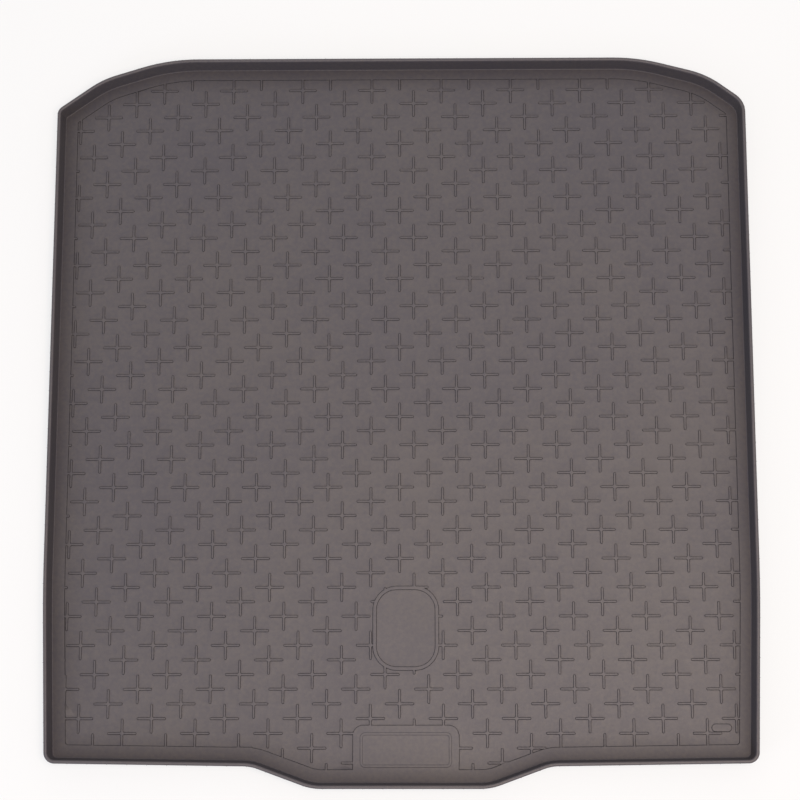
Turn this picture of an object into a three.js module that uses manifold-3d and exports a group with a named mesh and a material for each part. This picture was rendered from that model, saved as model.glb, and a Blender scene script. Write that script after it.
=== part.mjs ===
// Car boot liner: a shallow tray moulded in one piece from black rubber, with an upturned rim.
// Lengths are in millimetres. X runs across the boot, Y from the sill to the seats, Z up.
// The origin lies on the underside, in the middle of the overall outline.
import * as THREE from "three";
import { mergeVertices } from "three/addons/utils/BufferGeometryUtils.js";
import Module from "manifold-3d";

const wasm = await Module();
wasm.setup();

// Plan of the foot line, where the rim's inner face would meet the floor.
const SIDE_X = 484; // half the width along the straight sides
const FRONT_CORNER_X = SIDE_X - 8; // half the width at the two front corners
const SIDE_BEND_Y = -250; // the sides draw in from here to the front corners
const FRONT_CORNER_Y = -479;
const BACK_Y = 505;
const FRONT_CORNER_RADIUS = 7;
const SIDE_BEND_RADIUS = 2500;

// The middle of the front edge stands forward over the sill.
const NOSE_DEPTH = 30; // from the front edge beside it
const NOSE_ROOT_X = 202; // half its width where it leaves the front edge
const NOSE_TIP_X = 120; // half the width of its straight front
const NOSE_EDGE_Y = -483; // front edge where the nose begins
const NOSE_RADIUS = 70;

// The back corners are cut off by a slope that flattens into the back edge.
// Each knee is given by its insets from the side and from the back.
const LEFT_CORNER_Y = BACK_Y - 71;
const LEFT_KNEE_INSET = [59, 29];
const LEFT_EASE_INSET = 152; // from the side to where the back edge begins
const LEFT_CORNER_RADIUS = 6;
const RIGHT_CORNER_Y = BACK_Y - 62;
const RIGHT_KNEE_INSET = [50, 25];
const RIGHT_EASE_INSET = 146;
const RIGHT_CORNER_RADIUS = 24;
const KNEE_RADIUS = 120;
const EASE_RADIUS = 260;

// Section through the rim.
const FLOOR = 2.2; // thickness of the floor between the crosses
const RELIEF = 1.5; // height of the crosses, border and frames above that floor
const RIM_HEIGHT = 30;
const WALL = 3;
const LEAN = 3.4; // how far the rim leans out between foot and lip
const LIP_WIDTH = 4.8;
const LIP_DEPTH = 4;
const LIP_ROUND = 0.8;
const INNER_FILLET = 3;
const OUTER_ROUND = 4;
const BORDER = 18; // width of the raised border round the field
const STEP_RUN = 1; // slope of each step in the relief
const TIGHTEST_RADIUS = 4; // sharpest corner that the mould gives any line of the rim

// Pattern of small crosses, set a knight's move apart on a square grid.
const GRID = 20;
const CROSS_PLACE = [-82, -246]; // the centre of one of the crosses
const CROSS_REACH = 20.5; // from the centre to the tip of an arm
const CROSS_WAIST = 3.6; // from the centre to each inner corner, along X and Y
const CUT_MARGIN = 2.5; // how far a cut cross runs on inside the border or the ring

// Outline that marks the place of the finger pull.
const PULL_PLACE = [6.5, -302.5];
const PULL_SIZE = [91, 116];
const PULL_RADIUS = 33;
const PULL_LINE = 5;

// Plain panel at the front, with a thin frame line, and a small plain plate in the right corner.
const PANEL_PLACE_X = 6.5;
const PANEL_WIDTH = 145;
const PANEL_BACK_Y = -435;
const PANEL_RADIUS = 14;
const FRAME_INSET = 10;
const FRAME_LINE = 3.4;
const FRAME_FRONT_Y = -492;
const FRAME_HEIGHT = 0.5;
const FRAME_RADIUS = 7;
const PLATE_PLACE = [437.5, -438.8];
const PLATE_SIZE = [27, 10.5];

const SINK = 0.6; // how deep the frames are rooted in the floor before they are joined
const CROSS_SINK = 0.1; // and the crosses
const TOP = FLOOR + RELIEF;

const rubber = new THREE.MeshStandardMaterial({ color: 0x56545a, roughness: 0.72, metalness: 0 });

// The corners of the foot line, anticlockwise, each with its radius and its number of arc steps.
function footCorners() {
  const noseTipY = NOSE_EDGE_Y - NOSE_DEPTH;
  return [
    [-FRONT_CORNER_X, FRONT_CORNER_Y, FRONT_CORNER_RADIUS, 6],
    [-NOSE_ROOT_X, NOSE_EDGE_Y, NOSE_RADIUS, 3],
    [-NOSE_TIP_X, noseTipY, NOSE_RADIUS, 3],
    [NOSE_TIP_X, noseTipY, NOSE_RADIUS, 3],
    [NOSE_ROOT_X, NOSE_EDGE_Y, NOSE_RADIUS, 3],
    [FRONT_CORNER_X, FRONT_CORNER_Y, FRONT_CORNER_RADIUS, 6],
    [SIDE_X, SIDE_BEND_Y, SIDE_BEND_RADIUS, 2],
    [SIDE_X, RIGHT_CORNER_Y, RIGHT_CORNER_RADIUS, 6],
    [SIDE_X - RIGHT_KNEE_INSET[0], BACK_Y - RIGHT_KNEE_INSET[1], KNEE_RADIUS, 4],
    [SIDE_X - RIGHT_EASE_INSET, BACK_Y, EASE_RADIUS, 3],
    [LEFT_EASE_INSET - SIDE_X, BACK_Y, EASE_RADIUS, 3],
    [LEFT_KNEE_INSET[0] - SIDE_X, BACK_Y - LEFT_KNEE_INSET[1], KNEE_RADIUS, 4],
    [-SIDE_X, LEFT_CORNER_Y, LEFT_CORNER_RADIUS, 6],
    [-SIDE_X, SIDE_BEND_Y, SIDE_BEND_RADIUS, 2],
  ];
}

// The corner polygon moved outwards by a distance, which may be negative.
function movedCorners(corners, distance) {
  const points = corners.map(([x, y]) => new THREE.Vector2(x, y));
  const normals = points.map((point, i) => {
    const along = points[(i + 1) % points.length].clone().sub(point).normalize();
    return new THREE.Vector2(along.y, -along.x);
  });
  return points.map((point, i) => {
    const before = normals[(i + points.length - 1) % points.length];
    const after = normals[i];
    const middle = before.clone().add(after);
    return point.clone().addScaledVector(middle, (2 * distance) / middle.lengthSq());
  });
}

// A closed line parallel to the foot line, with its corners rounded.
function rimLine(corners, distance) {
  const points = movedCorners(corners, distance);
  return points.flatMap((point, i) => {
    const back = points[(i + points.length - 1) % points.length].clone().sub(point).normalize();
    const ahead = points[(i + 1) % points.length].clone().sub(point).normalize();
    const turn = Math.PI - Math.acos(THREE.MathUtils.clamp(back.dot(ahead), -1, 1));
    const convex = back.cross(ahead) < 0;
    const radius = Math.max(corners[i][2] + (convex ? distance : -distance), TIGHTEST_RADIUS);
    const toCentre = back.clone().add(ahead).normalize();
    const centre = point.clone().addScaledVector(toCentre, radius / Math.cos(turn / 2));
    const steps = corners[i][3];
    return Array.from({ length: steps + 1 }, (_, step) => {
      const angle = turn * (step / steps - 0.5) * (convex ? 1 : -1);
      const spoke = toCentre.clone().multiplyScalar(-radius);
      return spoke.rotateAround(new THREE.Vector2(), angle).add(centre);
    });
  });
}

// A round between a level face and the leaning rim, as [distance, height] pairs from the level up.
function roundUpTo(wallX, level, radius, leanAngle, steps) {
  const sweep = Math.PI / 2 - leanAngle;
  const startX = wallX - radius * Math.tan(sweep / 2);
  return Array.from({ length: steps + 1 }, (_, i) => {
    const angle = (sweep * i) / steps;
    return [startX + radius * Math.sin(angle), level + radius * (1 - Math.cos(angle))];
  });
}

// The rim's section from the underside, over the lip, and down to the field.
function rimSection() {
  const rise = RIM_HEIGHT - TOP;
  const slope = LEAN / rise;
  const leanAngle = Math.atan(slope);
  const outerFaceX = (height) => WALL + slope * (height - TOP);
  const neck = RIM_HEIGHT - LIP_DEPTH - (LIP_WIDTH - WALL);
  return [
    ...roundUpTo(outerFaceX(0), 0, OUTER_ROUND, leanAngle, 3),
    [outerFaceX(neck), neck],
    [LEAN + LIP_WIDTH, RIM_HEIGHT - LIP_DEPTH],
    [LEAN + LIP_WIDTH, RIM_HEIGHT - LIP_ROUND],
    [LEAN + LIP_WIDTH - LIP_ROUND, RIM_HEIGHT],
    [LEAN + LIP_ROUND, RIM_HEIGHT],
    [LEAN, RIM_HEIGHT - LIP_ROUND],
    ...roundUpTo(0, TOP, INNER_FILLET, leanAngle, 3).reverse(),
    [-BORDER, TOP],
    [-BORDER - STEP_RUN, FLOOR],
  ];
}

// A closed mesh from a stack of lines with equal counts, capped flat at both ends.
function skinOver(lines) {
  const count = lines[0].length;
  const positions = lines.flatMap((line) => line.flatMap((point) => [point.x, point.y, point.z]));
  const index = [];
  for (let row = 0; row + 1 < lines.length; row += 1) {
    for (let i = 0; i < count; i += 1) {
      const a = row * count + i;
      const b = row * count + ((i + 1) % count);
      index.push(a, b, b + count, a, b + count, a + count);
    }
  }
  const capOf = (line) => {
    const flat = line.map(({ x, y }) => new THREE.Vector2(x, y));
    return THREE.ShapeUtils.triangulateShape(flat, []);
  };
  const last = (lines.length - 1) * count;
  capOf(lines[0]).forEach(([a, b, c]) => index.push(a, c, b));
  capOf(lines.at(-1)).forEach(([a, b, c]) => index.push(last + a, last + b, last + c));
  const geometry = new THREE.BufferGeometry();
  geometry.setAttribute("position", new THREE.Float32BufferAttribute(positions, 3));
  geometry.setIndex(index);
  return geometry;
}

const atHeight = (line, height) => line.map(({ x, y }) => new THREE.Vector3(x, y, height));

function trayGeometry(corners) {
  const lines = rimSection().map(([distance, height]) => atHeight(rimLine(corners, distance), height));
  return skinOver(lines);
}

// A raised form on the floor: its outline at the top, sloped out by the step down to below the floor.
function raisedForm(outlineAt, top, run = STEP_RUN) {
  const root = FLOOR - SINK;
  const spread = (run * (top - root)) / (top - FLOOR);
  return skinOver([atHeight(outlineAt(spread), root), atHeight(outlineAt(0), top)]);
}

// A rounded rectangle about a centre, moved outwards by a distance.
function roundedRectangle([x, y], [width, depth], radius, distance, steps) {
  const round = Math.max(radius + distance, STEP_RUN / 2);
  const dx = width / 2 + distance - round;
  const dy = depth / 2 + distance - round;
  const centres = [[dx, dy], [-dx, dy], [-dx, -dy], [dx, -dy]];
  return centres.flatMap(([cx, cy], corner) =>
    Array.from({ length: steps + 1 }, (_, i) => {
      const angle = ((corner + i / steps) * Math.PI) / 2;
      return new THREE.Vector2(x + cx + round * Math.cos(angle), y + cy + round * Math.sin(angle));
    }),
  );
}

// One cross: four arms that fall from a peak at the centre to pointed tips.
function crossGeometry([x, y]) {
  const grow = (RELIEF + CROSS_SINK) / RELIEF;
  const outline = Array.from({ length: 8 }, (_, i) => {
    const reach = grow * (i % 2 === 0 ? CROSS_REACH : CROSS_WAIST * Math.SQRT2);
    const angle = (i * Math.PI) / 4;
    return [x + reach * Math.cos(angle), y + reach * Math.sin(angle), FLOOR - CROSS_SINK];
  });
  const geometry = new THREE.BufferGeometry();
  const positions = [...outline.flat(), x, y, TOP];
  const index = outline.flatMap((_, i) => [i, (i + 1) % 8, 8]);
  for (let i = 1; i < 7; i += 2) index.push(i, i + 2 > 7 ? 1 : i + 2, i + 1);
  index.push(7, 1, 0, 1, 5, 3, 1, 7, 5);
  geometry.setAttribute("position", new THREE.Float32BufferAttribute(positions, 3));
  geometry.setIndex(index);
  return geometry;
}

// How far a point lies inside a closed anticlockwise line; negative outside it.
function depthInside([x, y], line) {
  const point = new THREE.Vector3(x, y, 0);
  const edge = new THREE.Line3();
  const nearest = new THREE.Vector3();
  let inside = false;
  let distance = Infinity;
  line.forEach((a, i) => {
    const b = line[(i + 1) % line.length];
    edge.set(new THREE.Vector3(a.x, a.y, 0), new THREE.Vector3(b.x, b.y, 0));
    distance = Math.min(distance, edge.closestPointToPoint(point, true, nearest).distanceTo(point));
    if (a.y > y !== b.y > y && x < a.x + ((b.x - a.x) * (y - a.y)) / (b.y - a.y)) inside = !inside;
  });
  return inside ? distance : -distance;
}

// A straight prism over an outline, from one height to another.
const prism = (outlineXY, low, high) => skinOver([atHeight(outlineXY, low), atHeight(outlineXY, high)]);

// The centres of all the crosses that reach into the field.
function crossCentres(field) {
  const reach = Math.ceil((2 * Math.max(BACK_Y, SIDE_X)) / GRID);
  const centres = [];
  for (let row = -reach; row <= reach; row += 1) {
    for (let column = -reach; column <= reach; column += 1) {
      const onPattern = (((column - 2 * row) % 5) + 5) % 5 === 0;
      const centre = [CROSS_PLACE[0] + column * GRID, CROSS_PLACE[1] + row * GRID];
      if (onPattern && depthInside(centre, field) > -CROSS_REACH) centres.push(centre);
    }
  }
  return centres;
}

function solidOf(geometry) {
  geometry.deleteAttribute("normal");
  geometry.deleteAttribute("uv");
  const merged = mergeVertices(geometry);
  const mesh = new wasm.Mesh({
    numProp: 3,
    vertProperties: merged.attributes.position.array,
    triVerts: new Uint32Array(merged.index.array),
  });
  return new wasm.Manifold(mesh);
}

function geometryOf(solid) {
  const { vertProperties, triVerts } = solid.getMesh();
  const geometry = new THREE.BufferGeometry();
  geometry.setAttribute("position", new THREE.BufferAttribute(new Float32Array(vertProperties), 3));
  geometry.setIndex(new THREE.BufferAttribute(new Uint32Array(triVerts), 1));
  return geometry;
}

const corners = footCorners();
const field = rimLine(corners, -BORDER - STEP_RUN);

// The ring round the finger pull: a raised band on the floor, open in its middle.
const ringAt = (distance) => roundedRectangle(PULL_PLACE, PULL_SIZE, PULL_RADIUS, distance, 5);

function pullRing() {
  const foot = ringAt(-PULL_LINE - STEP_RUN);
  const brim = ringAt(-PULL_LINE + STEP_RUN);
  const hole = [atHeight(foot, FLOOR - 2 * SINK), atHeight(foot, FLOOR), atHeight(brim, TOP + RELIEF)];
  return solidOf(raisedForm(ringAt, TOP)).subtract(solidOf(skinOver(hole)));
}

// The panel runs forward into the border.
function frontPanel() {
  const fieldFrontY = Math.min(...field.map(({ y }) => y));
  const size = [PANEL_WIDTH, PANEL_BACK_Y - fieldFrontY + PANEL_RADIUS];
  const place = [PANEL_PLACE_X, PANEL_BACK_Y - size[1] / 2];
  return solidOf(raisedForm((distance) => roundedRectangle(place, size, PANEL_RADIUS, distance, 4), TOP));
}

// The frame line stands on the panel.
function panelFrame() {
  const size = [PANEL_WIDTH - 2 * FRAME_INSET, PANEL_BACK_Y - FRAME_INSET - FRAME_FRONT_Y];
  const place = [PANEL_PLACE_X, FRAME_FRONT_Y + size[1] / 2];
  const frameAt = (distance) => roundedRectangle(place, size, FRAME_RADIUS, distance, 3);
  const line = solidOf(prism(frameAt(0), FLOOR, TOP + FRAME_HEIGHT));
  const middle = solidOf(prism(frameAt(-FRAME_LINE), TOP - SINK, TOP + RELIEF));
  return line.subtract(middle).add(solidOf(prism(frameAt(0), FLOOR, TOP)));
}

function cornerPlate() {
  const plateAt = (distance) => roundedRectangle(PLATE_PLACE, PLATE_SIZE, PLATE_SIZE[1] / 2, distance, 4);
  return solidOf(raisedForm(plateAt, TOP));
}

// All the crosses, cut off inside the border and inside the ring.
function crossPattern() {
  const whole = crossCentres(field).map((centre) => solidOf(crossGeometry(centre)));
  const reach = rimLine(corners, CUT_MARGIN - BORDER);
  const opening = ringAt(-CUT_MARGIN);
  return wasm.Manifold.union(whole)
    .intersect(solidOf(prism(reach, 0, TOP + RELIEF)))
    .subtract(solidOf(prism(opening, 0, TOP + RELIEF)));
}

const liner = wasm.Manifold.union([
  solidOf(trayGeometry(corners)),
  crossPattern(),
  pullRing(),
  frontPanel(),
  panelFrame(),
  cornerPlate(),
]);

// The origin goes to the middle of the overall outline.
const outline = new THREE.Box3().setFromPoints(atHeight(rimLine(corners, LEAN + LIP_WIDTH), 0));
const middle = outline.getCenter(new THREE.Vector3());
const linerGeometry = geometryOf(liner).translate(-middle.x, -middle.y, 0);

const linerMesh = new THREE.Mesh(linerGeometry, rubber);
linerMesh.name = "liner";

const group = new THREE.Group();
group.add(linerMesh);
export default group;
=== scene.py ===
# %% [markdown]
# # A moulded rubber boot liner
#
# The object is a shallow tray that lies loose on the floor of a car's boot. It is moulded in one
# piece from black rubber: a thin floor, a low rim that leans out a little, and a pattern of small
# raised crosses that keeps luggage from sliding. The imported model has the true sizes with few
# faces. This script builds the fine surface over it, gives it the look of satin rubber, and lights
# it on a plain white floor.

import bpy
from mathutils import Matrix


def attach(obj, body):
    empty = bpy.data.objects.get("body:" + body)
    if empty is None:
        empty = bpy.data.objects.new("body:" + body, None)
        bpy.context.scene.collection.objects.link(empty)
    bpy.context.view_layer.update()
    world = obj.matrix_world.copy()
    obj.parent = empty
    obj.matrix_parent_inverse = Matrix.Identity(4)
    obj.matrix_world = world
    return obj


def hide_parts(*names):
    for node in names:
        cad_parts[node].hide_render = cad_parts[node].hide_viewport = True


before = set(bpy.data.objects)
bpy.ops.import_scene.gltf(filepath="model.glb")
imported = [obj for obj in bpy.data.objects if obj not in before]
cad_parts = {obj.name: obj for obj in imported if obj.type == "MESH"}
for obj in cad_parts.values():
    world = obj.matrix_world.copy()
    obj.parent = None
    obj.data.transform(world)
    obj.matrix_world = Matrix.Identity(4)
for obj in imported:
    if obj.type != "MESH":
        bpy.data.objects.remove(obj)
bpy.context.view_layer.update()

# %% Helpers for lengths and lines
import math

import bpy
import numpy as np
from mathutils import Matrix, Vector
from mathutils.geometry import delaunay_2d_cdt

MM = 0.001  # the script's sizes are in millimetres, and Blender's are in metres


def turned(vectors, angle):
    """Plan vectors turned anticlockwise."""
    cosine, sine = math.cos(angle), math.sin(angle)
    return np.asarray(vectors) @ np.array([[cosine, sine], [-sine, cosine]])


# %% [markdown]
# ## The plan of the tray
#
# The whole outline follows from one line: the foot line, where the inner face of the rim would
# meet the floor. Its corners are listed anticlockwise, each with the radius of its round. Every
# other line of the rim runs parallel to it, so one function that moves and rounds the corners
# draws them all. A Bezier curve with an offset would be quicker to draw, but it can't promise that
# all lines have the same number of points, and the rim is made by joining them point by point.

# %% The foot line
SIDE_X = 484
BACK_Y = 505
FRONT_CORNER_X = SIDE_X - 8  # the sides draw in a little towards the front
FRONT_CORNER_Y = -479
SIDE_BEND_Y = -250

# the nose in the middle of the front edge
NOSE_EDGE_Y = -483
NOSE_TIP_Y = -513
NOSE_ROOT_X = 202
NOSE_TIP_X = 120

# each back corner has a slope with a knee, which eases into the straight back edge
RIGHT_CORNER_Y = BACK_Y - 62
RIGHT_KNEE = (SIDE_X - 50, BACK_Y - 25)
RIGHT_EASE_X = SIDE_X - 146
LEFT_CORNER_Y = BACK_Y - 71
LEFT_KNEE = (59 - SIDE_X, BACK_Y - 29)
LEFT_EASE_X = 152 - SIDE_X

FRONT_ROUND = 7
NOSE_ROUND = 70
SIDE_ROUND = 2500
RIGHT_ROUND = 24
LEFT_ROUND = 6
KNEE_ROUND = 120
EASE_ROUND = 260

FOOT_CORNERS = [
    # x, y, radius
    (-FRONT_CORNER_X, FRONT_CORNER_Y, FRONT_ROUND),
    (-NOSE_ROOT_X, NOSE_EDGE_Y, NOSE_ROUND),
    (-NOSE_TIP_X, NOSE_TIP_Y, NOSE_ROUND),
    (NOSE_TIP_X, NOSE_TIP_Y, NOSE_ROUND),
    (NOSE_ROOT_X, NOSE_EDGE_Y, NOSE_ROUND),
    (FRONT_CORNER_X, FRONT_CORNER_Y, FRONT_ROUND),
    (SIDE_X, SIDE_BEND_Y, SIDE_ROUND),
    (SIDE_X, RIGHT_CORNER_Y, RIGHT_ROUND),
    (*RIGHT_KNEE, KNEE_ROUND),
    (RIGHT_EASE_X, BACK_Y, EASE_ROUND),
    (LEFT_EASE_X, BACK_Y, EASE_ROUND),
    (*LEFT_KNEE, KNEE_ROUND),
    (-SIDE_X, LEFT_CORNER_Y, LEFT_ROUND),
    (-SIDE_X, SIDE_BEND_Y, SIDE_ROUND),
]
TIGHTEST_RADIUS = 4  # a line inside a tight corner keeps at least this radius
ARC_STEP = math.radians(3)  # the turn from one point of a round to the next
MOST_SPACING = 12  # a long round gets a point at least this often


def moved_corners(distance):
    """The corners of the foot line with each side moved outwards by a distance."""
    points = np.array([corner[:2] for corner in FOOT_CORNERS], float)
    along = np.roll(points, -1, 0) - points
    along /= np.linalg.norm(along, axis=1)[:, None]
    after = np.c_[along[:, 1], -along[:, 0]]
    middle = after + np.roll(after, 1, 0)
    return points + middle * (2 * distance / (middle**2).sum(1))[:, None]


def rim_line(distance):
    """A closed line parallel to the foot line, as plan points."""
    points = moved_corners(distance)
    line = []
    for i, (point, (_, _, foot_radius)) in enumerate(zip(points, FOOT_CORNERS)):
        back = points[i - 1] - point
        ahead = points[(i + 1) % len(points)] - point
        back /= np.linalg.norm(back)
        ahead /= np.linalg.norm(ahead)
        turn = math.pi - math.acos(np.clip(back @ ahead, -1, 1))
        outwards = 1 if back[0] * ahead[1] - back[1] * ahead[0] < 0 else -1
        radius = max(foot_radius + outwards * distance, TIGHTEST_RADIUS)
        to_centre = (back + ahead) / np.linalg.norm(back + ahead)
        centre = point + to_centre * radius / math.cos(turn / 2)
        steps = max(math.ceil(turn / ARC_STEP), math.ceil(turn * foot_radius / MOST_SPACING))
        for angle in np.linspace(-turn / 2, turn / 2, steps + 1) * outwards:
            line.append(centre - turned(to_centre * radius, angle))
    return np.array(line)


foot_line = rim_line(0)
print("each line round the rim has", len(foot_line), "points")

# %% [markdown]
# ## The section of the rim
#
# Cut through, the rim is a wall that leans out by a few millimetres, with a round at its outer
# foot, a small hollow round at its inner foot and a lip that is a little thicker than the wall. The
# section is a list of pairs: how far out from the foot line, and how high. Sweeping it round the
# plan makes the whole rim in one go, and unlike a bevelled curve it keeps its width in the corners.

# %% The section of the rim
FLOOR = 2.2  # thickness of the floor between the crosses
RELIEF = 1.5  # height of everything that is raised on the floor
TOP = FLOOR + RELIEF
RIM_HEIGHT = 30
WALL = 3
LEAN = 3.4  # how far out the wall stands at the top
LIP_WIDTH = 4.8
LIP_DEPTH = 4
LIP_ROUND = 1.8  # the lip's top is nearly a full round
LIP_EDGE = 0.3  # the small bevel on the lip's lower edge
LIP_TO_WALL = 2  # the lip's inner round runs out over this height
INNER_FILLET = 1.4
INNER_STEPS = 6
OUTER_ROUND = 4
OUTER_STEPS = 5
BORDER = 16.5
BORDER_SHIFT = (1, 1.5)  # the border lies a little off the middle of the tray

lean_slope = LEAN / (RIM_HEIGHT - TOP)
lean_angle = math.atan(lean_slope)


def round_up_to(wall_x, level, radius, steps):
    """A round from a level face up to a face that leans as the rim does."""
    sweep = math.pi / 2 - lean_angle
    start = wall_x - radius * math.tan(sweep / 2)
    angles = np.linspace(0, sweep, steps + 1)
    return [(start + radius * math.sin(a), level + radius * (1 - math.cos(a))) for a in angles]


def corner_round(x, height, radius, first, steps=4):
    """A quarter round of the lip, from the direction first, anticlockwise in the section."""
    angles = first + np.linspace(0, math.pi / 2, steps + 1)
    return [(x + radius * math.cos(a), height + radius * math.sin(a)) for a in angles]


def outer_face_x(height):
    """How far out the wall's outer face stands at a height."""
    return WALL + lean_slope * (height - TOP)


neck_height = RIM_HEIGHT - LIP_DEPTH - (LIP_WIDTH - WALL)
section = [
    *round_up_to(outer_face_x(0), 0, OUTER_ROUND, OUTER_STEPS),
    (outer_face_x(neck_height), neck_height),
    (LEAN + LIP_WIDTH - LIP_EDGE, RIM_HEIGHT - LIP_DEPTH - LIP_EDGE),
    (LEAN + LIP_WIDTH, RIM_HEIGHT - LIP_DEPTH + LIP_EDGE),
    *corner_round(LEAN + LIP_WIDTH - LIP_ROUND, RIM_HEIGHT - LIP_ROUND, LIP_ROUND, 0),
    *corner_round(LEAN + LIP_ROUND, RIM_HEIGHT - LIP_ROUND, LIP_ROUND, math.pi / 2),
    (LEAN - lean_slope * LIP_TO_WALL, RIM_HEIGHT - LIP_ROUND - LIP_TO_WALL),
    *round_up_to(0, TOP, INNER_FILLET, INNER_STEPS)[::-1],
]
fillet_start = section[-1][0]
inner_points = INNER_STEPS + 2  # the wall's inside: its top and all of its hollow round
inner_face = [i >= len(section) - inner_points for i in range(len(section))]
print("the section has", len(section), "points and the floor starts at", round(fillet_start, 2), "mm")

# %% [markdown]
# ## The relief of the floor
#
# Everything that is raised on the floor has one height: the border, the crosses, the ring round
# the finger pull, the panel at the front and the small plate in the corner. Only the panel's frame
# line stands a little higher. Each form is described by its signed distance, which is negative
# inside it and positive outside. The distance gives two things. The lines at a few fixed distances
# are the edges of the mesh, and the height of any point follows from how far it lies from the
# nearest form, through a smooth step. A boolean join of nearly five hundred crosses would give
# ragged edges where a cross runs into the border. This way the forms melt into each other as they
# do in a mould.

# %% Signed distances
STEP_HALF = 0.55  # half the run of the sloped step, on each side of its middle
LEVELS = [STEP_HALF, STEP_HALF / 3, -STEP_HALF / 3, -STEP_HALF]

GRID = 20
CROSS_PLACE = (-82, -246)  # the centre of one of the crosses
ARM_HALF_WIDTH = 1.45
ARM_REACH = 19.8  # from a cross's centre to its tip
ARM_FILLET = 1.9  # the hollow round between two arms

MIDDLE_X = 6.5  # the finger pull and the panel stand a little to the right of the middle
PULL_PLACE = (MIDDLE_X, -302.5)
PULL_SIZE = (91, 116)
PULL_RADIUS = 33
PULL_LINE = 5

PANEL_WIDTH = 145
PANEL_BACK_Y = -435
PANEL_FRONT_Y = -508
PANEL_RADIUS = 14
PANEL_SIZE = (PANEL_WIDTH, PANEL_BACK_Y - PANEL_FRONT_Y)
PANEL_PLACE = (MIDDLE_X, (PANEL_BACK_Y + PANEL_FRONT_Y) / 2)

FRAME_INSET = 10
FRAME_LINE = 3.4
FRAME_FRONT_Y = -492
FRAME_HEIGHT = 0.5
FRAME_RADIUS = 7
FRAME_SIZE = (PANEL_WIDTH - 2 * FRAME_INSET, PANEL_BACK_Y - FRAME_INSET - FRAME_FRONT_Y)
FRAME_PLACE = (MIDDLE_X, FRAME_FRONT_Y + FRAME_SIZE[1] / 2)

PLATE_PLACE = (437.5, -438.8)
PLATE_SIZE = (27, 10.5)
PLATE_RADIUS = PLATE_SIZE[1] / 2


def cross_distance(points):
    """Distance to the nearest cross: two bars with round ends, filleted where they meet."""
    u, v = ((points - CROSS_PLACE) / GRID).T
    best = np.full(len(points), 1e9)
    # the crosses stand a knight's move apart: (2, 1) and (-1, 2) on the grid
    a = np.floor((2 * u + v) / 5)
    b = np.floor((2 * v - u) / 5)
    for i in (0, 1):
        for j in (0, 1):
            x = np.abs(u - (2 * (a + i) - (b + j))) * GRID
            y = np.abs(v - ((a + i) + 2 * (b + j))) * GRID
            near, far = np.minimum(x, y), np.maximum(x, y)
            bar = np.hypot(np.maximum(far - (ARM_REACH - ARM_HALF_WIDTH), 0), near) - ARM_HALF_WIDTH
            corner = ARM_HALF_WIDTH + ARM_FILLET
            fillet = ARM_FILLET - np.hypot(x - corner, y - corner)
            best = np.minimum(best, np.where(far < corner, fillet, bar))
    return best


def box_distance(points, place, size, radius):
    """Distance to a rounded rectangle."""
    gap = np.abs(points - place) - np.array(size) / 2 + radius
    return np.hypot(*np.maximum(gap, 0).T) + np.minimum(gap.max(1), 0) - radius


def line_distance(points, line):
    """Distance to a closed line, negative inside it."""
    ends = np.roll(line, -1, 0)
    best = np.full(len(points), 1e9)
    inside = np.zeros(len(points), bool)
    for a, b in zip(line, ends):
        along = b - a
        share = np.clip(((points - a) @ along) / (along @ along), 0, 1)
        best = np.minimum(best, np.hypot(*(points - a - share[:, None] * along).T))
        crossing = (a[1] > points[:, 1]) != (b[1] > points[:, 1])
        with np.errstate(divide="ignore", invalid="ignore"):
            cut_x = a[0] + along[0] * (points[:, 1] - a[1]) / along[1]
        inside ^= crossing & (points[:, 0] < cut_x)
    return np.where(inside, -best, best)


def border_at(distance):
    """The border's inner edge, moved into the border by a distance."""
    return rim_line(distance - BORDER) + BORDER_SHIFT


border_line = border_at(0)


def ring_distance(points, place, size, radius, line):
    """Distance to a band of a given width inside a rounded rectangle."""
    outer = box_distance(points, place, size, radius)
    return np.abs(outer + line / 2) - line / 2


def frames_distance(points):
    """Distance to the nearest of the border, the finger pull's ring, the panel and the plate."""
    return np.minimum.reduce([
        -line_distance(points, border_line),
        ring_distance(points, PULL_PLACE, PULL_SIZE, PULL_RADIUS, PULL_LINE),
        box_distance(points, PANEL_PLACE, PANEL_SIZE, PANEL_RADIUS),
        box_distance(points, PLATE_PLACE, PLATE_SIZE, PLATE_RADIUS),
    ])


def smooth_step(distance):
    """1 inside a form, 0 outside it, with a soft slope between."""
    share = np.clip(0.5 - distance / (2 * STEP_HALF), 0, 1)
    return share * share * (3 - 2 * share)


def floor_height(points):
    """Height of the tray's floor, in millimetres over the surface it lies on."""
    # no cross shows inside the ring of the finger pull
    pull = box_distance(points, PULL_PLACE, PULL_SIZE, PULL_RADIUS) + PULL_LINE / 2
    crosses = np.maximum(cross_distance(points), -pull)
    raised = smooth_step(np.minimum(crosses, frames_distance(points)))
    frame_line = ring_distance(points, FRAME_PLACE, FRAME_SIZE, FRAME_RADIUS, FRAME_LINE)
    return FLOOR + RELIEF * raised + FRAME_HEIGHT * smooth_step(frame_line)


field = border_line.max(0) - border_line.min(0)
print("the field of crosses measures", field.round(1), "mm inside its border")

# %% [markdown]
# ## The edges of the floor's mesh
#
# The floor needs edges only where its height changes. Each cross gets four lines round it, from
# the foot of its slope to the top, with points on its round tips and in its inner corners. The
# frames get the same four lines. All of them go into one constrained triangulation, which keeps
# every line as an edge and fills the flat parts with large triangles. A grid fine enough for the
# crosses would need millions of faces, nearly all of them on flat ground.

# %% Lines round a cross and round a frame
TIP_POINTS = 5
FILLET_STEPS = 3
LATTICE_REACH = 60  # steps of the pattern that are tried on each side of its first cross


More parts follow.
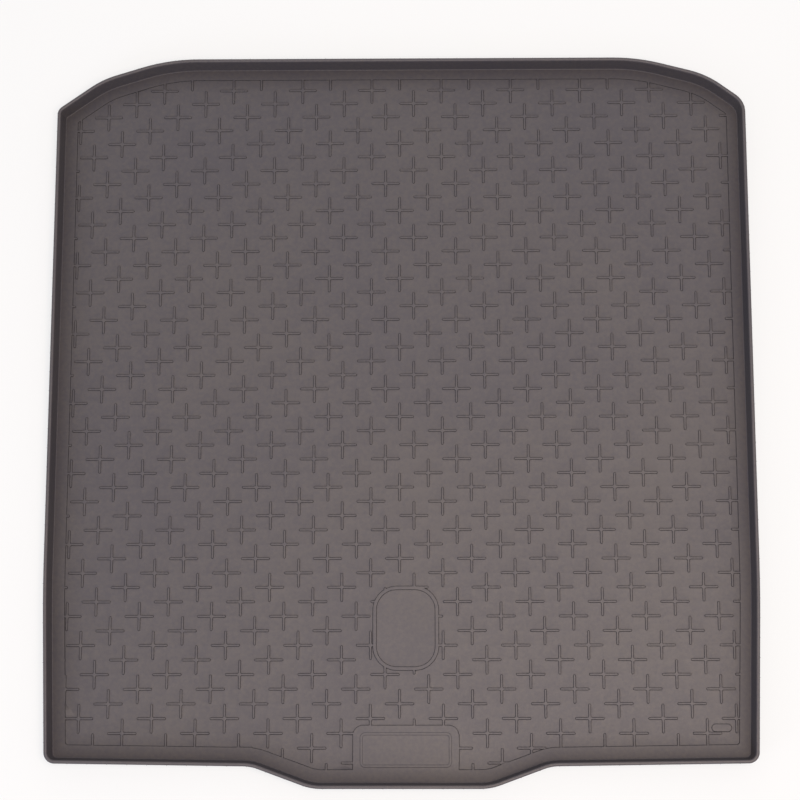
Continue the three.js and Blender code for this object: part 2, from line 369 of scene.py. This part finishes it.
def cross_line(distance):
    """The closed line at a distance round a cross that stands at the origin."""
    reach = ARM_REACH - ARM_HALF_WIDTH
    corner = ARM_HALF_WIDTH + ARM_FILLET
    quarter = []
    for angle in np.linspace(-math.pi / 2, math.pi / 2, TIP_POINTS):
        radius = ARM_HALF_WIDTH + distance
        quarter.append((reach + radius * math.cos(angle), radius * math.sin(angle)))
    for angle in np.linspace(-math.pi / 2, -math.pi, FILLET_STEPS + 1):
        radius = ARM_FILLET - distance
        quarter.append((corner + radius * math.cos(angle), corner + radius * math.sin(angle)))
    return np.vstack([turned(quarter, turn * math.pi / 2) for turn in range(4)])


def box_line(place, size, radius, distance, steps):
    """The closed line at a distance round a rounded rectangle."""
    spoke = radius + distance
    line = []
    for turn in range(4):
        side = size if turn % 2 == 0 else size[::-1]
        for angle in np.linspace(0, math.pi / 2, steps + 1):
            x = side[0] / 2 - radius + spoke * math.cos(angle)
            y = side[1] / 2 - radius + spoke * math.sin(angle)
            line.append(turned((x, y), turn * math.pi / 2))
    return np.array(line) + place


def cross_places():
    """The centres of all crosses of which at least a tip reaches the field."""
    steps = range(-LATTICE_REACH, LATTICE_REACH + 1)
    places = [(2 * a - b, a + 2 * b) for a in steps for b in steps]
    centres = np.array(places) * GRID + CROSS_PLACE
    return centres[line_distance(centres, border_line) < ARM_REACH]


centres = cross_places()
print("the line round each of the", len(centres), "crosses has", len(cross_line(0)), "points")

# %% [markdown]
# ## Crosses cut off by a frame
#
# A cross that meets a frame loses the part of its lines that would lie under the frame. The cut
# end of such a line is found by halving: the point that is still in the open is moved towards the
# covered one until the two meet. Where a straight line crosses a round one could also be worked
# out exactly, but halving needs only the distances and serves every frame alike.

# %% Straight edges of all the lines
ROOT = 1.5  # a cross's lines run this far into a frame before they stop
HALVINGS = 16
PANEL_STEPS = 8  # edges in each round corner
PULL_STEPS = 12
PLATE_STEPS = 6


def closed(line):
    """The straight edges of a closed line, as pairs of points."""
    return np.stack([line, np.roll(line, -1, 0)], 1)


def in_the_open(points):
    """True where a line of the crosses still shows."""
    pull = box_distance(points, PULL_PLACE, PULL_SIZE, PULL_RADIUS)
    return (frames_distance(points) > -ROOT) & (pull > -PULL_LINE / 2)


def clipped(edges, is_open):
    """The edges without what lies in the closed part of the plan."""
    open_start, open_end = is_open(edges[:, 0]), is_open(edges[:, 1])
    mixed = open_start != open_end
    kept = np.where(open_start[:, None], edges[:, 0], edges[:, 1])[mixed]
    covered = np.where(open_start[:, None], edges[:, 1], edges[:, 0])[mixed]
    last = kept
    for _ in range(HALVINGS):
        middle = (last + covered) / 2
        still_open = is_open(middle)[:, None]
        last = np.where(still_open, middle, last)
        covered = np.where(still_open, covered, middle)
    return np.concatenate([edges[open_start & open_end], np.stack([kept, last], 1)])


def frame_edges(distance):
    """Edges of the border, the ring, the plate and the panel with its frame line."""
    inside_ring = -PULL_LINE - distance
    inside_frame = -FRAME_LINE - distance
    panel = closed(box_line(PANEL_PLACE, PANEL_SIZE, PANEL_RADIUS, distance, PANEL_STEPS))
    return [
        closed(border_at(-distance)),
        closed(box_line(PULL_PLACE, PULL_SIZE, PULL_RADIUS, distance, PULL_STEPS)),
        closed(box_line(PULL_PLACE, PULL_SIZE, PULL_RADIUS, inside_ring, PULL_STEPS)),
        closed(box_line(PLATE_PLACE, PLATE_SIZE, PLATE_RADIUS, distance, PLATE_STEPS)),
        closed(box_line(FRAME_PLACE, FRAME_SIZE, FRAME_RADIUS, distance, PLATE_STEPS)),
        closed(box_line(FRAME_PLACE, FRAME_SIZE, FRAME_RADIUS, inside_frame, PLATE_STEPS)),
        clipped(panel, lambda points: -line_distance(points, border_line) > -ROOT),
    ]


def cross_edges(centres, distance):
    """Edges round all the crosses, cut where a frame covers them."""
    around = closed(cross_line(distance))
    every = (centres[:, None, None] + around).reshape(-1, 2, 2)
    return clipped(every, in_the_open)


domain = rim_line(fillet_start)
edges = [closed(domain)]
for level in LEVELS:
    edges += frame_edges(level)
    edges.append(cross_edges(centres, level))
edges = np.concatenate(edges)
print("all the lines together have", len(edges), "edges")

# %% [markdown]
# ## The whole tray as one mesh
#
# The triangulation gives the floor in plan, and the height function lifts it. The rim is swept
# from the section, and its last row is the outline of the floor, so the two share their points.
# The normals are not left to Blender. The tray's large flat triangles meet small steep ones, and
# averaged normals would spread the shade of each step over the flat beside it. Here each normal
# comes from the slope of the height function, or from the section.

# %% The floor's triangles
MERGE = 1e-4  # points nearer to each other than this become one
SLOPE_PROBE = 0.02  # the slope is measured this far to each side of a point

flat_edges = edges.reshape(-1, 2)
plan_points, _, floor_faces, source_points, _, _ = delaunay_2d_cdt(
    [Vector(point) for point in flat_edges],
    [(i, i + 1) for i in range(0, len(flat_edges), 2)],
    [],
    1,  # keep what lies inside the outer line
    MERGE,
)
plan = np.array([tuple(point) for point in plan_points])
heights = floor_height(plan)
slopes = [
    (floor_height(plan + probe) - floor_height(plan - probe)) / (2 * SLOPE_PROBE)
    for probe in np.eye(2) * SLOPE_PROBE
]
floor_normals = np.c_[-slopes[0], -slopes[1], np.ones(len(plan))]
floor_normals /= np.linalg.norm(floor_normals, axis=1)[:, None]
print(len(plan), "points and", len(floor_faces), "triangles in the floor")

# %% The rim, swept round the plan
outer_line = rim_line(LEAN + LIP_WIDTH)
middle = (outer_line.min(0) + outer_line.max(0)) / 2
print("the outline's middle lies at", middle.round(2))


def line_normals(line):
    """The outward direction at each point of a closed line."""
    along = np.roll(line, -1, 0) - np.roll(line, 1, 0)
    outward = np.c_[along[:, 1], -along[:, 0]]
    return outward / np.linalg.norm(outward, axis=1)[:, None]


def section_normals(pairs):
    """The outward direction at each point of the section: how far out, and how far up."""
    pairs = np.array(pairs)
    along = np.gradient(pairs, axis=0)
    along[0], along[-1] = (1, 0), (-1, 0)
    outward = np.c_[along[:, 1], -along[:, 0]]
    return outward / np.linalg.norm(outward, axis=1)[:, None]


count = len(domain)
outward = line_normals(foot_line)
rows = [
    np.c_[rim_line(distance), np.full(count, height)]
    for distance, height in section[:-1]
]
row_normals = [
    np.c_[outward * out, np.full(count, up)]
    for out, up in section_normals(section)[:-1]
]
print("the rim has", len(rows), "rows of", count, "points")

# %% Rim and floor in one mesh
points = np.concatenate([*rows, np.c_[plan, heights]])
normals = np.concatenate([*row_normals, floor_normals])
points[:, :2] -= middle

floor_start = count * len(rows)
place_of = {source: i for i, sources in enumerate(source_points) for source in sources}
last_row = [floor_start + place_of[2 * i] for i in range(count)]
row_indices = [list(range(row * count, (row + 1) * count)) for row in range(len(rows))]
row_indices.append(last_row)

faces = [row_indices[0][::-1]]
for lower, upper in zip(row_indices, row_indices[1:]):
    for i in range(count):
        j = (i + 1) % count
        faces.append((lower[i], lower[j], upper[j], upper[i]))
faces += [tuple(floor_start + index for index in face) for face in floor_faces]

mesh = bpy.data.meshes.new("liner_rubber")
mesh.from_pydata(points * MM, [], faces)
mesh.validate()
mesh.shade_smooth()
mesh.normals_split_custom_set_from_vertices(normals)
triangles = sum(len(face) - 2 for face in faces)
print("the liner has", triangles, "triangles")

# %% [markdown]
# ## Where light doesn't reach
#
# Less light reaches the steep sides of the crosses and the ground beside the rim, so both look
# darker. The render finds a part of this by itself, but a step is hardly wider than a pixel and its
# shade would be lost. Shade could also be painted on a picture, which would need to be very large.
# Here each point of the mesh carries two numbers from 0 to 1 for the material: how steep the relief
# is there, and how much the rim shelters it. The material paints shade into the colour from both.

# %% Slope and shelter at each point
FULL_SLOPE = 2  # a step that rises twice as fast as it runs counts as steep in full
SHELTER_REACH = 16  # half the shelter is gone this far from the rim
# painted shade: the wall's inside is darkened as if sheltered
WALL_SHELTER = 0.7  # the shelter of the wall's inside

# the steepness drives the painted shade on the steps of the relief
steepness = np.zeros(len(points))
steepness[floor_start:] = np.clip(np.hypot(*slopes) / FULL_SLOPE, 0, 1)
from_rim = np.maximum(-line_distance(plan, foot_line), 0)
shelter = np.repeat(np.array(inner_face, float)[:-1] * WALL_SHELTER, count)
shelter = np.concatenate([shelter, 1 / (1 + (from_rim / SHELTER_REACH)**3)])
for name, values in (("step_slope", steepness), ("rim_shelter", shelter)):
    mesh.attributes.new(name, "FLOAT", "POINT").data.foreach_set("value", values)
steep_share = np.mean(steepness > 0.5)
print("of the points,", round(100 * steep_share), "percent lie on a steep step")

# %% The liner takes the place of the plain one
liner = bpy.data.objects.new("liner_rubber", mesh)
bpy.context.scene.collection.objects.link(liner)

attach(liner, "root")
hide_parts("liner")

# %% [markdown]
# ## Vent nibs
#
# Rubber is pressed into its mould through tiny vents, and each leaves a nib along the lip's outer
# edge. They are under a millimetre long, so each is a small cone, placed by its distance along the
# line. An array that follows a curve would bunch them in the tight corners.

# %% Vent nibs along the lip
NIB_SPACING = 27
NIB_RADIUS = 0.45
NIB_LENGTH = 0.9
NIB_ROOT = 0.2  # each nib starts this far inside the lip
NIB_SIDES = 6
NIB_HEIGHT = RIM_HEIGHT - LIP_DEPTH / 2

nib_line = outer_line - middle
stretch = np.linalg.norm(np.roll(nib_line, -1, 0) - nib_line, axis=1)
walked = np.concatenate([[0], np.cumsum(stretch)])
nib_count = round(walked[-1] / NIB_SPACING)
nib_points, nib_faces = [], []
for i in range(nib_count):
    along = walked[-1] * (i + 0.5) / nib_count
    k = np.searchsorted(walked, along) - 1
    a, b = nib_line[k], nib_line[(k + 1) % len(nib_line)]
    on_lip = a + (b - a) * (along - walked[k]) / stretch[k]
    out = np.array([b[1] - a[1], a[0] - b[0]]) / stretch[k]
    side = np.array([-out[1], out[0]])
    first = len(nib_points)
    for turn in np.arange(NIB_SIDES) * 2 * math.pi / NIB_SIDES:
        foot = on_lip - out * NIB_ROOT + side * NIB_RADIUS * math.cos(turn)
        nib_points.append((*foot, NIB_HEIGHT + NIB_RADIUS * math.sin(turn)))
    nib_points.append((*(on_lip + out * NIB_LENGTH), NIB_HEIGHT))
    ring = [first + j for j in range(NIB_SIDES)]
    nib_faces.append(ring[::-1])
    nib_faces += [(ring[j], ring[(j + 1) % NIB_SIDES], first + NIB_SIDES) for j in range(NIB_SIDES)]

nib_mesh = bpy.data.meshes.new("vent_nibs")
nib_mesh.from_pydata(np.array(nib_points) * MM, [], nib_faces)
nib_mesh.shade_smooth()
nibs = bpy.data.objects.new("vent_nibs", nib_mesh)
bpy.context.scene.collection.objects.link(nibs)
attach(nibs, "root")
print(nib_count, "vent nibs")

# %% [markdown]
# ## Moulded rubber
#
# The liner is black thermoplastic rubber, moulded against a fine-grained steel tool. New rubber of
# this kind is a dark grey rather than black, because its satin skin scatters a wide, dull sheen.
# Its index of refraction is close to 1.5, it has no metal in it, and its roughness is near 0.5.
# Four patterns give it life: a fine grain from the tool, soft wide waves of the sheet, slightly
# cooler and warmer patches, and a speck of pale dust here and there. A picture of rubber wrapped
# round the mesh would stretch on the wall, so all of them are made from the place in space.
# Over these patterns, shade is painted on the steep steps and beside the rim, and the sheen is
# dimmed beside the rim as well.

# %% A helper for colours and one for nodes
def colour(hex_value):
    """A linear colour from an sRGB hex value."""
    parts = [int(hex_value[i:i + 2], 16) / 255 for i in (1, 3, 5)]
    return [c / 12.92 if c <= 0.04045 else ((c + 0.055) / 1.055) ** 2.4 for c in parts] + [1]


def add_node(tree, kind, settings=None, **inputs):
    """Adds a node. Each input is a value or another node's output, and _3 is input number 3."""
    node = tree.nodes.new(kind)
    for name, value in (settings or {}).items():
        setattr(node, name, value)
    for name, value in inputs.items():
        key = int(name[1:]) if name[0] == "_" and name[1:].isdigit() else name.replace("_", " ")
        socket = node.inputs[key]
        if isinstance(value, bpy.types.NodeSocket):
            tree.links.new(value, socket)
        else:
            socket.default_value = value
    return node


print("rubber grey as a linear colour:", [round(part, 3) for part in colour("#4a474d")[:3]])

# %% The rubber's patterns
GRAIN = 1.6  # the real grain is about 0.3 mm, drawn coarser so that it shows
MOTTLE = 5  # size of the fine mottling
WAVE = 170  # from crest to crest of the sheet's soft waves
PATCH = 260  # size of the cooler and warmer patches
SPECK_SPACING = 150  # from one speck of dust to the next
SPECK_RADIUS = 0.7
# painted shade: how far the colour is darkened on the steep steps of the relief
PAINTED_STEP_SHADE = 0.72  # how much darker a steep step is
# painted shade on the ground beside the rim and on the wall's inside
PAINTED_RIM_SHADE = 0.26  # and the ground beside the rim

rubber = bpy.data.materials.new("moulded_rubber")
rubber.use_nodes = True
tree = rubber.node_tree
shader = tree.nodes["Principled BSDF"]
in_space = add_node(tree, "ShaderNodeTexCoord").outputs["Object"]

mottle = add_node(tree, "ShaderNodeTexNoise", Vector=in_space, Scale=1 / (MOTTLE * MM), Detail=1.0)
patches = add_node(tree, "ShaderNodeTexNoise", Vector=in_space, Scale=1 / (PATCH * MM), Detail=2.0)
uneven = add_node(
    tree, "ShaderNodeMix", {"data_type": "FLOAT"},
    _0=0.5, _2=patches.outputs["Fac"], _3=mottle.outputs["Fac"],
)
tone = add_node(tree, "ShaderNodeMapRange", Value=uneven.outputs[0], From_Min=0.38, From_Max=0.62)
base = add_node(
    tree, "ShaderNodeMix", {"data_type": "RGBA"},
    _0=tone.outputs["Result"], _6=colour("#4a474d"), _7=colour("#524e50"),
)
# painted shade: steep steps are mixed towards a near-black colour
slope = add_node(tree, "ShaderNodeAttribute", {"attribute_name": "step_slope"})
by_rim = add_node(tree, "ShaderNodeAttribute", {"attribute_name": "rim_shelter"})
step_shade_amount = add_node(
    tree, "ShaderNodeMath", {"operation": "MULTIPLY"},
    _0=slope.outputs["Fac"], _1=PAINTED_STEP_SHADE,
)
# painted shade: the rim's shelter and the steps' steepness together darken the colour
dark = add_node(
    tree, "ShaderNodeMath", {"operation": "MULTIPLY_ADD", "use_clamp": True},
    _0=by_rim.outputs["Fac"], _1=PAINTED_RIM_SHADE, _2=step_shade_amount.outputs[0],
)
shaded = add_node(
    tree, "ShaderNodeMix", {"data_type": "RGBA"},
    _0=dark.outputs[0], _6=base.outputs[2], _7=colour("#161518"),
)
cells = add_node(tree, "ShaderNodeTexVoronoi", Vector=in_space, Scale=1 / (SPECK_SPACING * MM))
speck = add_node(
    tree, "ShaderNodeMapRange", Value=cells.outputs["Distance"],
    From_Min=SPECK_RADIUS / SPECK_SPACING, From_Max=0.6 * SPECK_RADIUS / SPECK_SPACING,
)
dusty = add_node(
    tree, "ShaderNodeMix", {"data_type": "RGBA"},
    _0=speck.outputs["Result"], _6=shaded.outputs[2], _7=colour("#a39d97"),
)
tree.links.new(dusty.outputs[2], shader.inputs["Base Color"])
print("the rubber's colour takes", len(tree.nodes), "nodes")

# %% The rubber's skin
waves = add_node(tree, "ShaderNodeTexNoise", Vector=in_space, Scale=1 / (WAVE * MM), Detail=1.0)
wave_bump = add_node(
    tree, "ShaderNodeBump", Strength=0.3, Distance=4 * MM, Height=waves.outputs["Fac"],
)
grain = add_node(tree, "ShaderNodeTexNoise", Vector=in_space, Scale=1 / (GRAIN * MM), Detail=2.0)
grain_bump = add_node(
    tree, "ShaderNodeBump", Strength=0.35, Distance=0.12 * MM,
    Height=grain.outputs["Fac"], Normal=wave_bump.outputs["Normal"],
)
tree.links.new(grain_bump.outputs["Normal"], shader.inputs["Normal"])
roughness = add_node(
    tree, "ShaderNodeMapRange", Value=grain.outputs["Fac"],
    From_Min=0.3, From_Max=0.7, To_Min=0.46, To_Max=0.54,
)
tree.links.new(roughness.outputs["Result"], shader.inputs["Roughness"])
# painted shade on the sheen: the specular level drops beside the rim
shade_dimmed_specular = add_node(
    tree, "ShaderNodeMapRange", Value=by_rim.outputs["Fac"],
    From_Min=0.0, From_Max=1.0, To_Min=0.5, To_Max=0.2,
)
tree.links.new(shade_dimmed_specular.outputs["Result"], shader.inputs["Specular IOR Level"])
shader.inputs["IOR"].default_value = 1.5
for piece in (liner, nibs):
    piece.data.materials.append(rubber)
print("the whole rubber takes", len(tree.nodes), "nodes")

# %% [markdown]
# ## The floor under the liner
#
# The liner lies on a plain white floor that runs into a white world, as in a catalogue picture.
# The floor is matt paper with a little glow of its own that only the camera sees. A floor that
# glows in full would lose the liner's soft shadow, and one without any glow would look grey.

# %% The floor
FLOOR_SIZE = 12  # metres
FLOOR_GAP = 0.2  # the floor lies this far under the liner, so that their faces don't coincide
PAPER_GLOW = 0.7

floor_mesh = bpy.data.meshes.new("studio_floor")
half = FLOOR_SIZE / 2
floor_corners = [(-half, -half, 0), (half, -half, 0), (half, half, 0), (-half, half, 0)]
floor_mesh.from_pydata(floor_corners, [], [(0, 1, 2, 3)])
studio_floor = bpy.data.objects.new("studio_floor", floor_mesh)
studio_floor.location.z = -FLOOR_GAP * MM
bpy.context.scene.collection.objects.link(studio_floor)

paper = bpy.data.materials.new("white_paper")
paper.use_nodes = True
tree = paper.node_tree
sheet = tree.nodes["Principled BSDF"]
sheet.inputs["Base Color"].default_value = colour("#e6e6e6")
sheet.inputs["Roughness"].default_value = 0.9
seen = add_node(tree, "ShaderNodeLightPath").outputs["Is Camera Ray"]
glow = add_node(tree, "ShaderNodeEmission", Color=colour("#ffffff"), Strength=1.0)
part_glow = add_node(tree, "ShaderNodeMath", {"operation": "MULTIPLY"}, _0=seen, _1=PAPER_GLOW)
lit_paper = add_node(
    tree, "ShaderNodeMixShader",
    _0=part_glow.outputs[0], _1=sheet.outputs[0], _2=glow.outputs[0],
)
tree.links.new(lit_paper.outputs[0], tree.nodes["Material Output"].inputs["Surface"])
floor_mesh.materials.append(paper)
print("the studio floor is", FLOOR_SIZE, "m wide")

# %% [markdown]
# ## The light
#
# Most of the light comes from the world, which is evenly bright all round like the walls of a
# white studio. That alone makes the tray darker beside its rim. A large warm lamp above the front
# adds the dull sheen that grows towards the front, a weak cool one stands low at the front left,
# and a weak white one behind lights the rim from the back. One strong lamp would light every cross
# from one side, and the real ones are dark all round. The camera itself sees a white world.

# %% The light
WORLD_STRENGTH = 0.6

world = bpy.data.worlds.new("studio")
world.use_nodes = True
bpy.context.scene.world = world
tree = world.node_tree
ray = add_node(tree, "ShaderNodeLightPath")
in_view = add_node(
    tree, "ShaderNodeMath", {"operation": "MAXIMUM"},
    _0=ray.outputs["Is Camera Ray"], _1=ray.outputs["Is Transmission Ray"],
)
fill = tree.nodes["Background"]
fill.inputs["Color"].default_value = colour("#f4f5f8")
fill.inputs["Strength"].default_value = WORLD_STRENGTH
white = add_node(tree, "ShaderNodeBackground", Color=colour("#ffffff"), Strength=1.0)
surround = add_node(
    tree, "ShaderNodeMixShader",
    _0=in_view.outputs[0], _1=fill.outputs[0], _2=white.outputs[0],
)
tree.links.new(surround.outputs[0], tree.nodes["World Output"].inputs["Surface"])


def add_lamp(name, place, target, size, power, tint):
    """A square soft lamp that looks at a point; places in metres."""
    lamp = bpy.data.lights.new(name, "AREA")
    lamp.size = size
    lamp.energy = power
    lamp.color = colour(tint)[:3]
    holder = bpy.data.objects.new(name, lamp)
    holder.location = place
    holder.rotation_euler = (Vector(target) - Vector(place)).to_track_quat("-Z", "Y").to_euler()
    bpy.context.scene.collection.objects.link(holder)
    print(name, "gives", power, "W")


add_lamp(
    "softbox", place=(0.55, -0.65, 3.2), target=(0.1, -0.1, 0),
    size=1.4, power=73, tint="#ffeadb",
)
add_lamp(
    "window", place=(-2.2, -1.9, 1.2), target=(0.3, 0, 0),
    size=1.2, power=20, tint="#d6e2ff",
)
add_lamp(
    "back_lamp", place=(0, 2.6, 1.6), target=(0, 0.4, 0),
    size=1.5, power=9, tint="#ffffff",
)

# %% [markdown]
# ## The camera
#
# The tray is seen from almost straight above, a little in front of it, and from far off, so its
# sides hardly converge. The focal length is given in pixels of the picture, because that is how
# the view of a flat pattern of known spacing is worked out.

# %% The camera
CAMERA_PLACE = Vector((38, -555, 2990)) * MM
CAMERA_TARGET = Vector((-1.4, 21.6, 3.7)) * MM
FOCAL_PIXELS = 2163
IMAGE_PIXELS = 800
SENSOR = 36  # width of the sensor in millimetres

lens = bpy.data.cameras.new("camera")
lens.sensor_width = SENSOR
lens.lens = FOCAL_PIXELS / IMAGE_PIXELS * SENSOR
camera = bpy.data.objects.new("camera", lens)
forward = (CAMERA_TARGET - CAMERA_PLACE).normalized()
right = forward.cross(Vector((0, 1, 0))).normalized()
camera.rotation_mode = "QUATERNION"
camera.rotation_quaternion = Matrix((right, right.cross(forward), -forward)).transposed().to_quaternion()
camera.location = CAMERA_PLACE
bpy.context.scene.collection.objects.link(camera)
bpy.context.scene.camera = camera
bpy.context.scene.view_settings.view_transform = "Standard"
distance = (CAMERA_TARGET - CAMERA_PLACE).length
print("the camera is", round(distance, 2), "m away, with a lens of", round(lens.lens), "mm")
